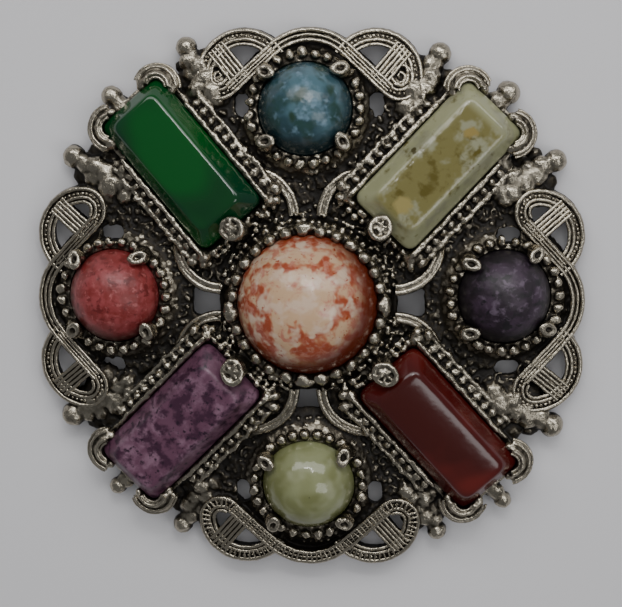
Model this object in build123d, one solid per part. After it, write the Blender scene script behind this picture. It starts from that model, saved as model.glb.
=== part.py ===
"""A round cast brooch with nine glass stones, lying on its back. Millimetres, +Z up, +Y towards its top.

The frame is one casting: a shallow dome, pierced, with an interlaced border, settings and claws.
The nine stones and the pin fitting behind the dome are pieces of their own.
"""

import os
from math import acos, atan2, cos, degrees, hypot, pi, radians, sin, sqrt

from build123d import *

# The dome that the whole casting follows
dome_radius = 106.0
dome_height = 5.2
web_thickness = 1.3
web_radius = 22.3

# The interlaced border: a side has one middle lobe and two side lobes
border_reach = 27.85
strand_width = 1.45
strand_raise = 0.45
ridge_width = 0.27
ridge_raise = 0.22
ridge_spacing = 0.5
middle_lobe_radius = 6.05
side_lobe_offset = 6.6
side_lobe_depth = 0.1
end_loop_offset = 9.05
end_loop_depth = 4.95
end_loop_radius = 1.65
side_lobe_end = -58.0
diagonal_width = 1.3
diagonal_turn = 45.0
diagonal_foot = 0.75
boss_radius = 0.75

# Round stones, domed over a short straight girdle
centre_radius = 7.0
centre_dome_radius = 7.25
small_radius = 4.68
small_dome_radius = 4.78
girdle_height = 0.9
girdle_bevel = 0.25
centre_lift = 0.55
small_lift = 0.15
small_ring_radius = 19.1

# Bar stones, a flat table inside sloping sides
bar_length = 16.5
bar_width = 7.9
bar_girdle = 1.5
bar_height = 3.4
bar_table_inset = 1.35
bar_corner = 0.9
bar_lift = 0.15
bar_ring_radius = 18.35

# Settings
clearance = 0.06
collar_wall = 0.75
collar_height = 1.0
skirt_flare = 2.4
centre_flare = 1.2
skirt_sink = 0.9
tray_wall = 0.5
tray_base = 0.5
tray_height = 1.25
rail_radius = 0.28
rail_length = 12.4
ledge_width = 1.15
ledge_height = 0.45
outer_rail_radius = 0.25
wire_radius = 0.42
wire_bend = 4.3
wire_lift = 0.35

# Beads, claws, leaves and balls
bead_radius = 0.5
centre_bead_radius = 0.62
bead_pitch = 1.15
bead_grip = 0.7
bead_rise = 0.2
bead_tuck = 0.85
ring_bead_pitch = 1.3
centre_bead_pitch = 1.72
claw_radius = 0.9
claw_height = 1.75
claw_grip = 0.65
claw_stem = 0.85
end_claw_stem = 0.95
end_claw_radius = 1.15
end_claw_height = 2.5
end_claw_grip = 0.45
leaf_radius = 0.45
leaf_wall = 0.8
leaf_height = 1.35
leaf_turn = 150.0
leaf_wrap = 25.0
ball_radius = 1.15
ball_height = 1.75
stem_width = 1.5
stem_root = 5.0
stem_length = 6.0
neck_tip = 0.85
neck_root = 1.25
neck_length = 5.0
neck_tilt = 7.5

# Openings through the casting
side_hole_length = 2.5
side_hole_width = 1.5
side_hole_offset = 6.75
side_hole_distance = 20.0
centre_gap_width = 3.0
centre_gap_depth = 2.8
centre_gap_distance = 10.3
centre_gap_round = 0.6

# Pin fitting, behind the dome and towards the top
fitting_line = 5.6
fitting_length = 30.0
fitting_width = 3.4
fitting_thickness = 0.8
fitting_top = 2.5
pad_length = 4.0
pad_spacing = 23.0
pin_radius = 0.42
pin_height = 0.8
hinge_length = 2.6
catch_length = 1.8
block_width = 2.4

sphere_depth = dome_height - dome_radius
far = 3 * dome_height

# side: direction of the border's four sides, and how far each reaches as a share of border_reach
sides = {"east": (0, 1.0), "north": (90, 0.985), "west": (180, 1.0), "south": (270, 0.995)}

# sides whose end loops are filled by a flat boss
filled_loops = ["north"]

# sides with an opening between the middle setting and the small one
open_sides = ["east", "west", "south"]

# the two ridges of a corner leaf: bend round the stone's corner, height of the ridge's middle
leaf_ridges = [(1.25, 1.75), (1.95, 1.4)]

# node: direction from the middle in degrees, distance as a share of small_ring_radius, claws' directions
small_stones = {
    "purple_cabochon": (2.0, 1.02, (57, 137, 222, 322)),
    "blue_cabochon": (91.0, 1.005, (47, 139, 223, 318)),
    "coral_cabochon": (178.6, 1.022, (53, 134, 222, 320)),
    "green_cabochon": (270.0, 0.972, (45, 145, 227, 316)),
}

# node: direction from the middle, distance as a share of bar_ring_radius, direction of the long side
bar_stones = {
    "olive_bar": (46.8, 1.02, 46.2),
    "emerald_bar": (132.5, 1.015, 131.3),
    "mauve_bar": (223.7, 0.972, 225.8),
    "carnelian_bar": (315.9, 0.992, 311.4),
}

# rim balls: direction from the middle, distance as a share of border_reach, size as a share of ball_radius
rim_balls = [
    (62.3, 1.005, 1.0),
    (46.5, 1.035, 1.05),
    (29.8, 1.02, 1.0),
    (116.2, 1.015, 0.95),
    (134.5, 1.03, 0.95),
    (149.1, 1.005, 1.05),
    (206.7, 0.985, 1.1),
    (224.8, 1.01, 0.8),
    (240.9, 0.975, 0.9),
    (298.6, 0.985, 0.85),
    (313.7, 1.03, 0.8),
    (332.5, 1.0, 1.1),
]


def polar(angle, distance):
    """The point at a direction in degrees and a distance from the middle."""
    return distance * cos(radians(angle)), distance * sin(radians(angle))


def dome_z(x, y):
    """Height of the dome's outer face."""
    return sphere_depth + sqrt(dome_radius**2 - x**2 - y**2)


def on_dome(x, y, turn=0.0):
    """A plane that lies on the dome at x, y, its own x axis in the direction turn."""
    normal = Vector(x, y, dome_z(x, y) - sphere_depth).normalized()
    along = Vector(cos(radians(turn)), sin(radians(turn)), 0)
    along = (along - normal * along.dot(normal)).normalized()
    return Plane(origin=(x, y, dome_z(x, y)), x_dir=along, z_dir=normal)


def dome(lift=0.0):
    """The ball that the dome is a part of, its poles out of the way at the sides."""
    return Pos(0, 0, sphere_depth) * Rot(90, 0, 0) * Sphere(dome_radius + lift)


def arc_band(centre, radius, width, start, end):
    """A flat band along an arc."""
    outer = CenterArc(centre, radius + width / 2, start, end - start)
    inner = CenterArc(centre, radius - width / 2, start, end - start)
    return make_face([outer, Line(outer @ 1, inner @ 1), inner, Line(inner @ 0, outer @ 0)])


def line_band(start, end, width, shift=0.0):
    """A flat band along a straight line, moved sideways by shift."""
    length = hypot(end[0] - start[0], end[1] - start[1])
    turn = degrees(atan2(end[1] - start[1], end[0] - start[0]))
    middle = ((start[0] + end[0]) / 2, (start[1] + end[1]) / 2)
    return Pos(*middle) * Rot(0, 0, turn) * Pos(0, shift) * Rectangle(length, width)


def knot_paths(reach):
    """Half of a side's interlace, x outwards and y along the side: centre lines by name, as arcs and lines."""
    middle = (reach - middle_lobe_radius, 0.0)
    middle_radius = middle_lobe_radius - strand_width / 2
    loop = (reach - end_loop_depth, end_loop_offset)
    # The strand leaves the middle lobe on the line that also touches the far side of the end loop
    away = hypot(loop[0] - middle[0], loop[1])
    heading = degrees(atan2(loop[1], loop[0] - middle[0]))
    leave = heading - degrees(acos((middle_radius + end_loop_radius) / away))
    aim = Vector(cos(radians(leave)), sin(radians(leave)))
    start = (middle[0] + middle_radius * aim.X, middle_radius * aim.Y)
    end = (loop[0] - end_loop_radius * aim.X, loop[1] - end_loop_radius * aim.Y)
    # The side lobe's circle holds the end loop's inside it and touches it
    top = reach - side_lobe_depth - strand_width / 2
    rise = top - loop[0]
    apart = loop[1] - side_lobe_offset
    side_radius = (rise**2 + apart**2 - end_loop_radius**2) / (2 * (rise - end_loop_radius))
    side = (top - side_radius, side_lobe_offset)
    touch = degrees(atan2(apart, loop[0] - side[0]))
    diagonal_start = (
        side[0] + side_radius * cos(radians(diagonal_turn)),
        side[1] + side_radius * sin(radians(diagonal_turn)),
    )
    diagonal_end = tuple(s + (e - s) * diagonal_foot for s, e in zip(start, end))
    return {
        "middle": ("arc", middle, middle_radius, 0.0, leave),
        "crossing": ("line", start, end),
        "loop": ("arc", loop, end_loop_radius, touch, 180 + leave),
        "side": ("arc", side, side_radius, side_lobe_end, touch),
        "diagonal": ("line", diagonal_start, diagonal_end),
    }


def band(path, width, shift=0.0):
    """The flat band that a strand, or one of its ridges, makes on its path."""
    if path[0] == "line":
        return line_band(path[1], path[2], width, shift)
    return arc_band(path[1], path[2] + shift, width, path[3], path[4])


def both_halves(shape):
    """A half of a side's interlace and its mirror image."""
    return shape + mirror(shape, about=Plane.XZ)


def knot(reach, filled):
    """A side's interlace as flat regions: the whole strands, and the ridges on them with their crossings cut."""
    paths = knot_paths(reach)
    widths = dict.fromkeys(paths, strand_width)
    widths["diagonal"] = diagonal_width
    strands = {name: band(path, widths[name]) for name, path in paths.items()}
    ridges = {
        name: Sketch() + [band(path, ridge_width, step * ridge_spacing) for step in (-1, 0, 1)]
        for name, path in paths.items()
    }
    over = strands["middle"] + strands["crossing"]
    ridges["side"] = ridges["side"] - over - strands["diagonal"]
    ridges["loop"] = ridges["loop"] - strands["diagonal"]
    ridges["diagonal"] = ridges["diagonal"] - over
    whole = Sketch() + list(strands.values())
    top = Sketch() + list(ridges.values())
    if filled:
        whole += Pos(*paths["loop"][1]) * Circle(end_loop_radius)
        top += Pos(*paths["loop"][1]) * Circle(boss_radius)
    return both_halves(whole), both_halves(top)


def cabochon(radius, curve_radius, spare=0.0):
    """A round domed stone on its flat base, grown by spare all round."""
    r = radius + spare
    ball = curve_radius + spare
    ball_centre = girdle_height - sqrt(curve_radius**2 - radius**2)
    top = ball_centre + ball
    side = ball_centre + sqrt(ball**2 - r**2)
    middle = (ball * cos(radians(60)), ball_centre + ball * sin(radians(60)))
    outline = [
        Line((0, -spare), (r - girdle_bevel, -spare)),
        Line((r - girdle_bevel, -spare), (r, girdle_bevel - spare)),
        Line((r, girdle_bevel - spare), (r, side)),
        ThreePointArc((r, side), middle, (0, top)),
        Line((0, top), (0, -spare)),
    ]
    return revolve(Plane.XZ * make_face(outline), Axis.Z)


def bar(spare=0.0):
    """A bar stone on its flat base, its long side along x, grown by spare all round."""
    length, width = bar_length + 2 * spare, bar_width + 2 * spare
    base = RectangleRounded(length, width, bar_corner + spare)
    body = Pos(0, 0, -spare) * extrude(base, bar_girdle + spare)
    inset = 2 * bar_table_inset
    table = RectangleRounded(length - inset, width - inset, bar_corner)
    body += loft([Pos(0, 0, bar_girdle) * base, Pos(0, 0, bar_height + spare) * table])
    return body


def ring(radius, pitch):
    """Directions, in degrees, of things spaced evenly on a circle."""
    count = round(2 * pi * radius / pitch)
    return [360 * i / count for i in range(count)]


def on_ring(radius, height, angle):
    """A place on a circle round the z axis, turned so that its x axis points outwards."""
    return Rot(0, 0, angle) * Pos(radius, 0, height)


def bent_rod(centre, bend, rod, height, start, end):
    """A round rod bent along an arc."""
    section = Plane.XZ * Pos(bend, 0) * Circle(rod)
    return Pos(*centre, height) * Rot(0, 0, start) * revolve(section, Axis.Z, end - start)


def border():
    """The interlaced border: strands down to the resting plane, with ridges along their backs."""
    strands, ridges = Sketch(), Sketch()
    for side, (angle, share) in sides.items():
        whole, top = knot(border_reach * share, side in filled_loops)
        strands += Rot(0, 0, angle) * whole
        ridges += Rot(0, 0, angle) * top
    body = extrude(strands, far) & dome(strand_raise)
    backs = Pos(0, 0, web_thickness) * extrude(ridges, far) & dome(strand_raise + ridge_raise)
    return body + backs


def web():
    """The pierced domed plate that carries the settings, hollow behind."""
    outline = Circle(web_radius)
    for plane in small_planes().values():
        outline += Pos(plane.origin.X, plane.origin.Y) * Circle(small_radius + collar_wall + skirt_flare / 2)
    for angle, share, turn in bar_stones.values():
        place = Pos(*polar(angle, share * bar_ring_radius)) * Rot(0, 0, turn)
        outline += place * Rectangle(bar_length + 2 * tray_wall, bar_width + 2 * tray_wall)
    for angle, share, size in rim_balls:
        tip = share * border_reach - ball_radius * size / 2
        half_tip, half_root = stem_width * size / 2, stem_root / 2
        root = tip - stem_length
        corners = [(tip, -half_tip), (tip, half_tip), (root, half_root), (root, -half_root)]
        outline += Rot(0, 0, angle) * Polygon(*corners, align=None)
    gap = Pos(centre_gap_distance, 0) * RectangleRounded(centre_gap_depth, centre_gap_width, centre_gap_round)
    for side in open_sides:
        outline -= Rot(0, 0, sides[side][0]) * gap
    return (extrude(outline, far) & dome()) - dome(-web_thickness)


def small_planes():
    """Where the small round stones' bases lie."""
    planes = {}
    for node, place in small_stones.items():
        planes[node] = on_dome(*polar(place[0], place[1] * small_ring_radius)).offset(small_lift)
    return planes


def bar_planes():
    """Where the bar stones' bases lie, long side along x and outwards."""
    planes = {}
    for node, (angle, share, turn) in bar_stones.items():
        planes[node] = on_dome(*polar(angle, share * bar_ring_radius), turn).offset(bar_lift)
    return planes


def skirt(radius, lift, flare):
    """The conical collar round a stone's base."""
    top = radius + clearance + collar_wall
    height = skirt_sink + lift + collar_height
    return Pos(0, 0, collar_height - height / 2) * Cone(top + flare, top, height)


def centre_setting():
    """The middle setting: its collar, and the beads that hold the stone."""
    bead_ring = centre_radius + centre_bead_radius * bead_grip
    pieces = [skirt(centre_radius, centre_lift, centre_flare)]
    for angle in ring(bead_ring, centre_bead_pitch):
        pieces.append(on_ring(bead_ring, collar_height + bead_rise, angle) * Sphere(centre_bead_radius))
    return [Pos(0, 0, dome_height + centre_lift) * piece for piece in pieces]


def small_setting(plane, claws):
    """A round setting: a flared collar, a ring of beads and four claws."""
    bead_ring = small_radius + clearance + collar_wall
    claw_ring = small_radius + claw_radius * claw_grip
    stem = claw_height + skirt_sink
    pieces = [skirt(small_radius, small_lift, skirt_flare)]
    for angle in ring(bead_ring, ring_bead_pitch):
        pieces.append(on_ring(bead_ring, collar_height, angle) * Sphere(bead_radius))
    for angle in claws:
        pieces.append(on_ring(claw_ring, claw_height, angle) * Sphere(claw_radius))
        pieces.append(on_ring(claw_ring, claw_height - stem / 2, angle) * Cylinder(claw_radius * claw_stem, stem))
    return [plane * piece for piece in pieces]


def leaf(corner, start, end):
    """A curled leaf round a bar's corner: a bent wall that carries two ridges."""
    middle = sum(bend for bend, _ in leaf_ridges) / len(leaf_ridges)
    wall = Pos(middle, (leaf_height - skirt_sink) / 2) * Rectangle(leaf_wall, leaf_height + skirt_sink)
    section = Sketch() + wall + [Pos(bend, height) * Circle(leaf_radius) for bend, height in leaf_ridges]
    return Pos(*corner) * Rot(0, 0, start) * revolve(Plane.XZ * section, Axis.Z, end - start)


def rail_section(side, hand):
    """One long side of a bar's setting, cut across: wall and rail beside the stone, ledge and outer rail."""
    outer = side + tray_wall + ledge_width
    section = Sketch() + Pos(side + tray_wall / 2, (tray_height - skirt_sink) / 2) * Rectangle(
        tray_wall, tray_height + skirt_sink
    )
    section += Pos((side + outer) / 2, (ledge_height - skirt_sink) / 2) * Rectangle(
        outer - side, ledge_height + skirt_sink
    )
    section += Pos(side + tray_wall / 2, tray_height) * Circle(rail_radius)
    section += Pos(outer, ledge_height) * Circle(outer_rail_radius)
    return Plane.YZ * (section if hand > 0 else mirror(section, about=Plane.YZ))


def bar_setting(plane):
    """A bar's setting: a tray open at its ends, rails and a row of beads on each side, end claw, corner leaves."""
    side = bar_width / 2 + clearance
    end = bar_length / 2 + clearance
    rail_middle = rail_length / 2 - end
    pieces = [
        Pos(0, 0, (tray_base - skirt_sink) / 2)
        * Box(2 * (end + tray_wall), 2 * (side + tray_wall), tray_base + skirt_sink),
        Pos(-end - end_claw_radius * end_claw_grip, 0, end_claw_height) * Sphere(end_claw_radius),
        Pos(-end - end_claw_radius * end_claw_grip, 0, (end_claw_height - skirt_sink) / 2)
        * Cylinder(end_claw_radius * end_claw_stem, end_claw_height + skirt_sink),
    ]
    beads = round(rail_length / bead_pitch)
    for hand in (-1, 1):
        pieces.append(Pos(rail_middle - rail_length / 2) * extrude(rail_section(side, hand), rail_length))
        for i in range(beads):
            along = rail_middle + (i + 0.5 - beads / 2) * bead_pitch
            across = hand * (side + tray_wall + bead_radius * bead_tuck)
            pieces.append(Pos(along, across, ledge_height) * Sphere(bead_radius))
        corner = (bar_length / 2 - bar_corner, hand * (bar_width / 2 - bar_corner))
        sweep_start = -leaf_wrap if hand > 0 else leaf_wrap - leaf_turn
        pieces.append(leaf(corner, sweep_start, sweep_start + leaf_turn))
    return [plane * piece for piece in pieces]


def wires():
    """The eight bent wires that frame the gaps round the middle setting."""
    pieces = []
    for angle, share in sides.values():
        plane = on_dome(*polar(angle, centre_gap_distance), angle).offset(wire_lift)
        for hand in (-1, 1):
            centre = (-centre_gap_depth / 2, hand * (centre_gap_width / 2 + wire_bend))
            start, end = (-90, 0) if hand > 0 else (0, 90)
            pieces.append(plane * bent_rod(centre, wire_bend, wire_radius, 0, start, end))
    return pieces


def balls():
    """The balls that stand out round the rim, on necks that thicken into the dome."""
    pieces = []
    for angle, share, size in rim_balls:
        place = on_ring(share * border_reach, ball_height, angle)
        pieces.append(place * Rot(0, 90, 0) * Sphere(ball_radius * size))
        neck = place * Rot(0, neck_tilt - 90, 0) * Pos(0, 0, neck_length / 2)
        pieces.append(neck * Cone(neck_tip * size, neck_root * size, neck_length))
    return pieces


def pads():
    """The two flat pads behind the dome that the pin fitting is soldered to."""
    height = dome_height - fitting_top
    block = Box(pad_length, fitting_width, height)
    centres = [(hand * pad_spacing / 2, fitting_line, fitting_top + height / 2) for hand in (-1, 1)]
    return [Pos(*centre) * block & dome(-web_thickness / 2) for centre in centres]


def pin_fitting():
    """Strip, hinge block, pin and catch in one plain piece."""
    strip_bottom = fitting_top - fitting_thickness
    block = strip_bottom - pin_height + pin_radius
    end = fitting_length / 2
    body = Pos(0, 0, strip_bottom + fitting_thickness / 2) * Box(fitting_length, fitting_width, fitting_thickness)
    body += Pos(hinge_length / 2 - end, 0, strip_bottom - block / 2) * Box(hinge_length, block_width, block)
    body += Pos(end - catch_length / 2, 0, strip_bottom - block / 2) * Box(catch_length, block_width, block)
    body += Pos(0, 0, pin_height) * Rot(0, 90, 0) * Cylinder(pin_radius, fitting_length - hinge_length)
    return Pos(0, fitting_line, 0) * body


def side_holes():
    """The openings on both sides of each small setting, cut through its skirt's foot too."""
    cuts = []
    for angle, share in sides.values():
        hole = Pos(side_hole_distance * share, 0) * SlotOverall(side_hole_length, side_hole_width)
        for hand in (-1, 1):
            cuts.append(extrude(Rot(0, 0, angle) * Pos(0, hand * side_hole_offset) * hole, far))
    return cuts


def frame():
    """The whole casting, cut to take its stones."""
    body = web() + border()
    body += pads()
    body += centre_setting()
    for node, plane in small_planes().items():
        body += small_setting(plane, small_stones[node][2])
    for plane in bar_planes().values():
        body += bar_setting(plane)
    body += wires() + balls()
    body -= side_holes()
    for piece in stones(clearance).values():
        body -= piece
    return body


def stones(spare=0.0):
    """All nine stones in their places, grown by spare."""
    centre = Pos(0, 0, dome_height + centre_lift)
    pieces = {"centre_cabochon": centre * cabochon(centre_radius, centre_dome_radius, spare)}
    for node, plane in small_planes().items():
        pieces[node] = plane * cabochon(small_radius, small_dome_radius, spare)
    for node, plane in bar_planes().items():
        pieces[node] = plane * bar(spare)
    return pieces


def main():
    pieces = {"frame": frame(), "pin_fitting": pin_fitting(), **stones()}
    os.makedirs("parts", exist_ok=True)
    for node, piece in pieces.items():
        solids = piece.solids()
        solid = solids[0] if len(solids) == 1 else Compound(solids)
        solid.label = node
        export_step(solid, f"parts/{node}.step")
        print(node, len(solids), "solid", round(sum(s.volume for s in solids), 1), "mm3")


main()
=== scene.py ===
import math
import random

import bpy
from mathutils import Matrix, Vector


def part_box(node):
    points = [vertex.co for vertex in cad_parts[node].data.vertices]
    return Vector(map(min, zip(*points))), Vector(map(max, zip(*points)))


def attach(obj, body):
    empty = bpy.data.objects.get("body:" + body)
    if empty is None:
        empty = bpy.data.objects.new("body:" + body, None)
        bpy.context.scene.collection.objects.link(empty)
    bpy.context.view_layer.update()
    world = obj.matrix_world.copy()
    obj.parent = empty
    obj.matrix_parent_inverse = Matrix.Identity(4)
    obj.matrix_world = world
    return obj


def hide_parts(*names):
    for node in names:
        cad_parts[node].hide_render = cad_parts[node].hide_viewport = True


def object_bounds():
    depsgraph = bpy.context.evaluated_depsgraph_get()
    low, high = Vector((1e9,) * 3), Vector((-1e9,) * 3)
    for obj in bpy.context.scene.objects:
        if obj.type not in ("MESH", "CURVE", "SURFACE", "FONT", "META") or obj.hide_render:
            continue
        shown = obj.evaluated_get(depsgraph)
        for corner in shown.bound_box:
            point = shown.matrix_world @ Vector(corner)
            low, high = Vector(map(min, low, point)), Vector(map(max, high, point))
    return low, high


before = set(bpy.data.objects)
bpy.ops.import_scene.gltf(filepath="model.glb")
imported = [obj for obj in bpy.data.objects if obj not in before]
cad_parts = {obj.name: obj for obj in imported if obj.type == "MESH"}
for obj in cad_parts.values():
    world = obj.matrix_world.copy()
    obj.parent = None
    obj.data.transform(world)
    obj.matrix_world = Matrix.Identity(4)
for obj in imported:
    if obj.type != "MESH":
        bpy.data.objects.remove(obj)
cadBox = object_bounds()
print("stage: frame loaded,", len(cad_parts), "CAD nodes")

toMm = 1000.0
rng = random.Random(12)

# where the casting's parts are, in millimetres and degrees, as in the CAD
dome = {"radius": 106.0, "height": 5.2}
# a side's angle, and its reach as a share of the whole
sides = {"east": (0, 1.0), "north": (90, 0.985), "west": (180, 1.0), "south": (270, 0.995)}
# a small stone's angle, its distance as a share of the ring's, and the angles of its claws
smallStones = {
    "purple_cabochon": (2.0, 1.02, (57, 137, 222, 322)),
    "blue_cabochon": (91.0, 1.005, (47, 139, 223, 318)),
    "coral_cabochon": (178.6, 1.022, (53, 134, 222, 320)),
    "green_cabochon": (270.0, 0.972, (45, 145, 227, 316)),
}
# a bar's angle, its distance as a share of the ring's, and the way that its length points
barStones = {
    "olive_bar": (46.8, 1.02, 46.2),
    "emerald_bar": (132.5, 1.015, 131.3),
    "mauve_bar": (223.7, 0.972, 225.8),
    "carnelian_bar": (315.9, 0.992, 311.4),
}
stoneSizes = {"smallRing": 19.1, "barLength": 16.5, "barWidth": 7.9, "barRing": 18.35}
cadWeld = 1e-3  # millimetres: the CAD meshes are loose triangles whose corners meet to within this


def selectOnly(*pieces):
    if bpy.context.object and bpy.context.object.mode != "OBJECT":
        bpy.ops.object.mode_set(mode="OBJECT")
    bpy.ops.object.select_all(action="DESELECT")
    for piece in pieces:
        piece.select_set(True)
    bpy.context.view_layer.objects.active = pieces[0] if pieces else None


def newest(name):
    piece = bpy.context.object
    piece.name = name
    return piece


def settled(piece, matrix=None):
    # puts the piece's place into its mesh
    if matrix:
        piece.matrix_world = matrix
    selectOnly(piece)
    bpy.ops.object.transform_apply(location=True, rotation=True, scale=True)
    return piece


def addModifier(piece, kind, **settings):
    selectOnly(piece)
    modifier = piece.modifiers.new(kind.title(), kind)
    for key, value in settings.items():
        setattr(modifier, key, value)
    bpy.ops.object.modifier_apply(modifier=modifier.name)
    return piece


def ownCopy(source, name, matrix=None):
    piece = source.copy()
    piece.data = source.data.copy()
    piece.name = name
    bpy.context.scene.collection.objects.link(piece)
    if matrix:
        piece.matrix_world = matrix
    return piece


def copiesAt(source, places):
    pieces = [ownCopy(source, source.name, place) for place in places]
    bpy.data.objects.remove(source)
    return pieces


def joined(pieces, name):
    selectOnly(*pieces)
    bpy.ops.object.join()
    return newest(name)


def closedUp(piece, gap=1e-4):
    selectOnly(piece)
    bpy.ops.object.mode_set(mode="EDIT")
    bpy.ops.mesh.select_all(action="SELECT")
    bpy.ops.mesh.remove_doubles(threshold=gap)
    bpy.ops.mesh.normals_make_consistent(inside=False)
    bpy.ops.object.mode_set(mode="OBJECT")
    return piece


def polar(angle, distance):
    return distance * math.cos(math.radians(angle)), distance * math.sin(math.radians(angle))


def seenFrom(x, y, angle):
    # the same place by axes turned by an angle
    cos, sin = polar(angle, 1)
    return x * cos + y * sin, y * cos - x * sin


def isWithin(place, middle, half):
    return all(abs(p - m) < h for p, m, h in zip(place, middle, half))


def domeZ(x, y):
    return dome["height"] - dome["radius"] + math.sqrt(dome["radius"] ** 2 - x * x - y * y)


def onDome(x, y, turn=0.0, lift=0.0):
    # a place on the dome's face, z outwards, x in the direction turn
    normal = Vector((x, y, domeZ(x, y) - dome["height"] + dome["radius"])).normalized()
    along = Vector((math.cos(math.radians(turn)), math.sin(math.radians(turn)), 0))
    along = (along - normal * along.dot(normal)).normalized()
    across = normal.cross(along)
    place = Matrix((along, across, normal)).transposed().to_4x4()
    place.translation = Vector((x, y, domeZ(x, y))) + normal * lift
    return place


def spot(x, y, z, turn=0.0, tilt=0.0, scale=(1, 1, 1)):
    # a local place, turned about z and then tipped about its own y
    turned = Matrix.Rotation(math.radians(turn), 4, "Z") @ Matrix.Rotation(math.radians(tilt), 4, "Y")
    return Matrix.Translation((x, y, z)) @ turned @ Matrix.Diagonal((*scale, 1))


def eitherWay(most):
    return rng.uniform(-most, most)


def evenRow(length, pitch):
    # places along a row, even on both sides of its middle
    count = round(length / pitch)
    return [(i + 0.5 - count / 2) * pitch for i in range(count)]


def fillRamp(marks, stops):
    # a stop is its place and an sRGB hex colour or a grey value
    while len(marks) < len(stops):
        marks.new(0.5)
    for mark, (place, colour) in zip(marks, stops):
        mark.position = place
        mark.color = fromHex(colour) if isinstance(colour, str) else (colour, colour, colour, 1)


def addNode(tree, kind, settings=None, **links):
    # adds a node, sets its properties, and gives its inputs a value or another node's output
    node = tree.nodes.new(kind)
    if isinstance(settings, str):
        settings = {"operation": settings}
    for key, value in (settings or {}).items():
        if key == "stops":
            fillRamp(node.color_ramp.elements, value)
        else:
            setattr(node, key, value)
    for key, value in links.items():
        key = int(key[1:]) if key[0] == "i" and key[1:].isdigit() else key.replace("_", " ")
        if isinstance(value, bpy.types.Node):
            value = value.outputs[0]
        if isinstance(value, bpy.types.NodeSocket):
            tree.links.new(value, node.inputs[key])
        else:
            node.inputs[key].default_value = value
    return node


def heightOfDome(tree, place, unit):
    # the dome's height under a place, with this many millimetres to the unit
    flat = addNode(tree, "ShaderNodeVectorMath", "MULTIPLY", i0=place, i1=(1, 1, 0))
    square = addNode(tree, "ShaderNodeVectorMath", "DOT_PRODUCT", i0=flat, i1=flat).outputs["Value"]
    rest = addNode(tree, "ShaderNodeMath", "SUBTRACT", i0=(dome["radius"] / unit) ** 2, i1=square)
    rise = addNode(tree, "ShaderNodeMath", "SQRT", i0=rest)
    return addNode(tree, "ShaderNodeMath", "SUBTRACT", i0=rise, i1=(dome["radius"] - dome["height"]) / unit)


def pointsMoved(piece, name, change):
    # gives every point of a piece the offset or the position that change makes of its place
    tree = bpy.data.node_groups.new(name, "GeometryNodeTree")
    for way in ("INPUT", "OUTPUT"):
        tree.interface.new_socket("Geometry", in_out=way, socket_type="NodeSocketGeometry")
    start = addNode(tree, "NodeGroupInput")
    place = addNode(tree, "GeometryNodeInputPosition")
    moved = addNode(tree, "GeometryNodeSetPosition", Geometry=start, **change(tree, place))
    addNode(tree, "NodeGroupOutput", Geometry=moved)
    return addModifier(piece, "NODES", node_group=tree)


def liftedOntoDome(piece):
    # raises every point of a flat piece by the dome's height under it
    def lift(tree, place):
        return {"Offset": addNode(tree, "ShaderNodeCombineXYZ", Z=heightOfDome(tree, place, 1.0))}
    return pointsMoved(piece, "liftOntoDome", lift)


def keptInBox(piece):
    # draws in what the lumps have pushed out of the real piece's size, or under the plane it rests on
    def clamp(tree, place):
        low, high = (tuple(value * toMm for value in corner) for corner in cadBox)
        above = addNode(tree, "ShaderNodeVectorMath", "MAXIMUM", i0=place, i1=low)
        return {"Position": addNode(tree, "ShaderNodeVectorMath", "MINIMUM", i0=above, i1=high)}
    return pointsMoved(piece, "keepInBox", clamp)


def madeLumpy(piece, size, strength):
    # pushes the skin in and out in soft lumps
    lumps = bpy.data.textures.new("lumps", "CLOUDS")
    lumps.noise_scale = size
    lumps.noise_depth = 2
    return addModifier(piece, "DISPLACE", texture=lumps, strength=strength, mid_level=0.5)


def backToMetres(piece):
    settled(piece, Matrix.Scale(1 / toMm, 4))
    bpy.ops.object.shade_smooth_by_angle(angle=math.radians(casting["sharpFrom"]))
    return piece


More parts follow.
